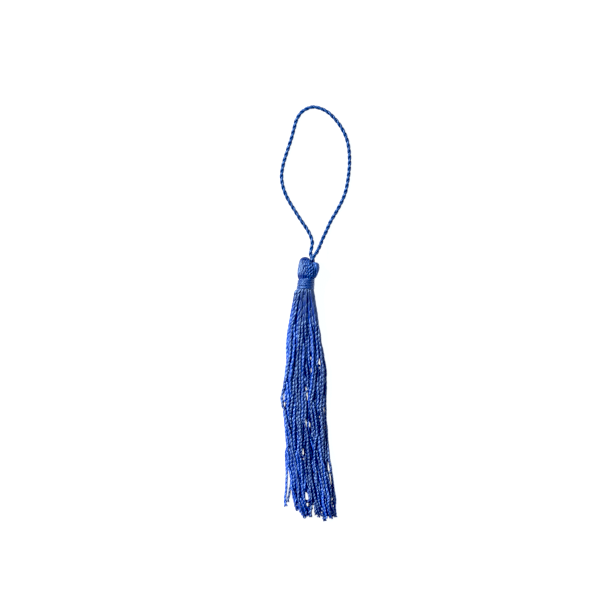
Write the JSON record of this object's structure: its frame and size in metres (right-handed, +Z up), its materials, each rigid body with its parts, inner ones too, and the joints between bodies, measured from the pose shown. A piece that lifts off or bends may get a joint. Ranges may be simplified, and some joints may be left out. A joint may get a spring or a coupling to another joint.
{
  "type": "hanging tassel",
  "caption": "Fringed tassel of silky twisted thread with a rounded head, a thread-bound neck and a twisted cord loop, lying on a surface.",
  "frame": {"origin": "middle of the folded thread's box, on the surface that the tassel lies on", "axes": "+Y along the tassel from the fringe's tips towards the head and the loop, +X to the right seen from above with the head up, +Z up from the surface"},
  "size_m": [0.0221, 0.1287, 0.0059],
  "materials": {
    "thread": "silky twisted rayon thread, satin sheen",
    "binding": "the same rayon thread wound tight, satin sheen",
    "cord": "two-ply twisted rayon cord, satin sheen"
  },
  "bodies": {
    "root": {"thread_hank": "thread", "neck_binding": "binding", "hanging_loop": "cord"}
  },
  "joints": []
}
